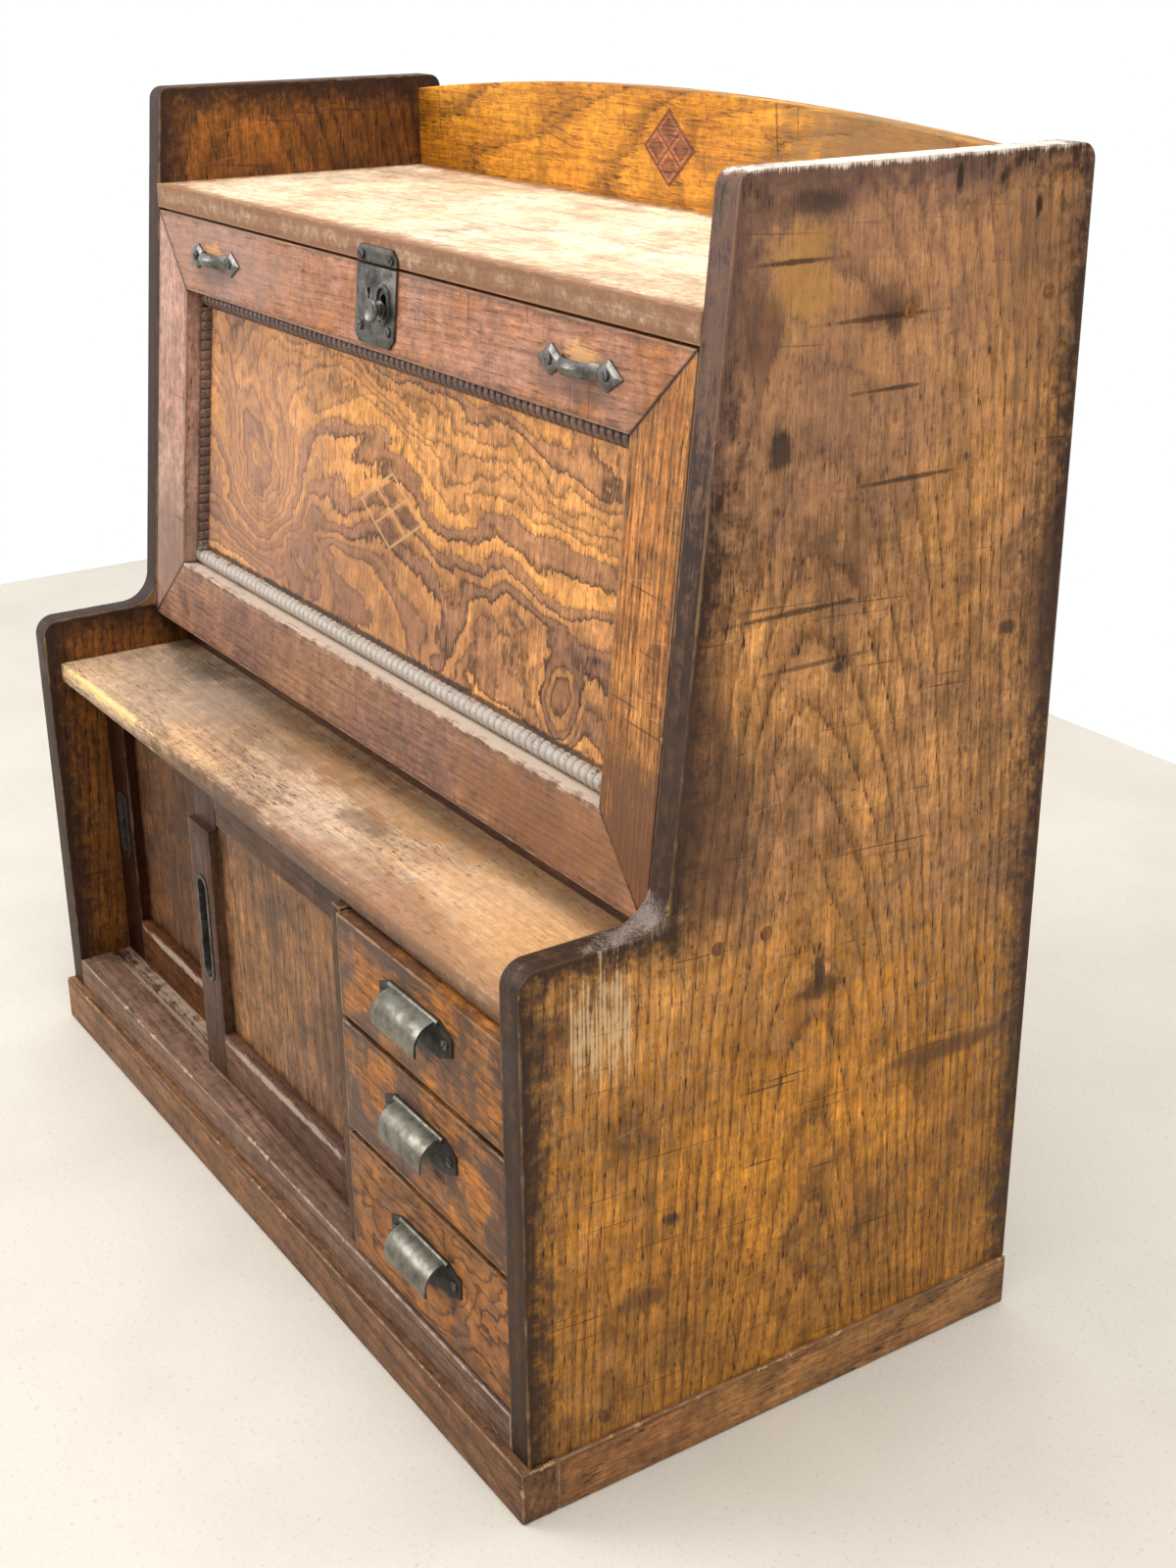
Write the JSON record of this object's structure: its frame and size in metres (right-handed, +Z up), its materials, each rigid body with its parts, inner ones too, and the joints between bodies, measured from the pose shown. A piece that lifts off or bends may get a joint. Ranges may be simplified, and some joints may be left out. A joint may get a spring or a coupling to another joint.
{
  "type": "drop-front cabinet",
  "caption": "Small stepped wooden cabinet with a leaning drop front on butt hinges, sliding panel doors and small drawers below, and a gallery along the top.",
  "frame": {"origin": "on the floor under the middle of the object's bounding box", "axes": "+X to the right seen from the front, +Y to the rear, +Z up; the drop front, doors and drawers face -Y"},
  "size_m": [0.605, 0.3184, 0.623],
  "materials": {
    "case_wood": "worn satin",
    "dark_wood": "worn satin",
    "bleached_wood": "dry and bleached",
    "amber_wood": "satin",
    "figured_wood": "worn satin",
    "iron": "aged",
    "tin": "tarnished"
  },
  "bodies": {
    "cabinet": {"left_side": "case_wood", "right_side": "case_wood", "side_pegs": "case_wood", "plinth_front": "dark_wood", "plinth_left": "dark_wood", "plinth_right": "dark_wood", "sill": "dark_wood", "bottom_board": "case_wood", "step_shelf": "case_wood", "desk_floor": "case_wood", "lower_back": "case_wood", "upper_back": "case_wood", "top_board": "bleached_wood", "gallery_back": "amber_wood", "gallery_inlay": "dark_wood", "drawer_partition": "dark_wood", "door_guides": "case_wood", "head_lip": "dark_wood", "drawer_rails": "case_wood", "drawer_runners": "case_wood", "hinge_rail": "dark_wood", "hinge_fixed_leaves": "iron", "hinge_pins": "iron", "strike_plate": "tin", "strike_screws": "iron", "flap_stops": "case_wood"},
    "drop_front": {"flap_top_rail": "case_wood", "flap_bottom_rail": "dark_wood", "flap_left_stile": "case_wood", "flap_right_stile": "case_wood", "flap_panel": "figured_wood", "rope_mouldings": "dark_wood", "hinge_moving_leaves": "iron", "handle_left": "iron", "handle_right": "iron", "latch_plate": "tin", "flap_screws": "iron"},
    "latch": {"latch_knob": "tin", "latch_bolt": "iron"},
    "right_door": {"right_door_stiles": "case_wood", "right_door_rails": "case_wood", "right_door_panel": "case_wood", "right_door_pull": "iron"},
    "left_door": {"left_door_stiles": "case_wood", "left_door_rails": "case_wood", "left_door_panel": "case_wood", "left_door_pull": "iron"},
    "upper_drawer": {"upper_drawer_front": "figured_wood", "upper_drawer_box": "case_wood", "upper_drawer_pull": "tin", "upper_drawer_screws": "iron"},
    "middle_drawer": {"middle_drawer_front": "figured_wood", "middle_drawer_box": "case_wood", "middle_drawer_pull": "tin", "middle_drawer_screws": "iron"},
    "lower_drawer": {"lower_drawer_front": "figured_wood", "lower_drawer_box": "case_wood", "lower_drawer_pull": "tin", "lower_drawer_screws": "iron"}
  },
  "joints": [
    {"name": "flap_drop", "type": "hinge", "parent": "cabinet", "child": "drop_front", "pos_m": [0, -0.05045, 0.286], "axis": [1, 0, 0], "range_deg": [0, 95.75]},
    {"name": "latch_slide", "type": "slide", "parent": "drop_front", "child": "latch", "axis": [0, 0.1002, 0.995], "range_m": [0, 0.005]},
    {"name": "left_door_slide", "type": "slide", "parent": "cabinet", "child": "left_door", "axis": [1, 0, 0], "range_m": [0, 0.176]},
    {"name": "right_door_slide", "type": "slide", "parent": "cabinet", "child": "right_door", "axis": [-1, 0, 0], "range_m": [0, 0.176]},
    {"name": "upper_drawer_slide", "type": "slide", "parent": "cabinet", "child": "upper_drawer", "axis": [0, -1, 0], "range_m": [0, 0.2]},
    {"name": "middle_drawer_slide", "type": "slide", "parent": "cabinet", "child": "middle_drawer", "axis": [0, -1, 0], "range_m": [0, 0.2]},
    {"name": "lower_drawer_slide", "type": "slide", "parent": "cabinet", "child": "lower_drawer", "axis": [0, -1, 0], "range_m": [0, 0.2]}
  ]
}
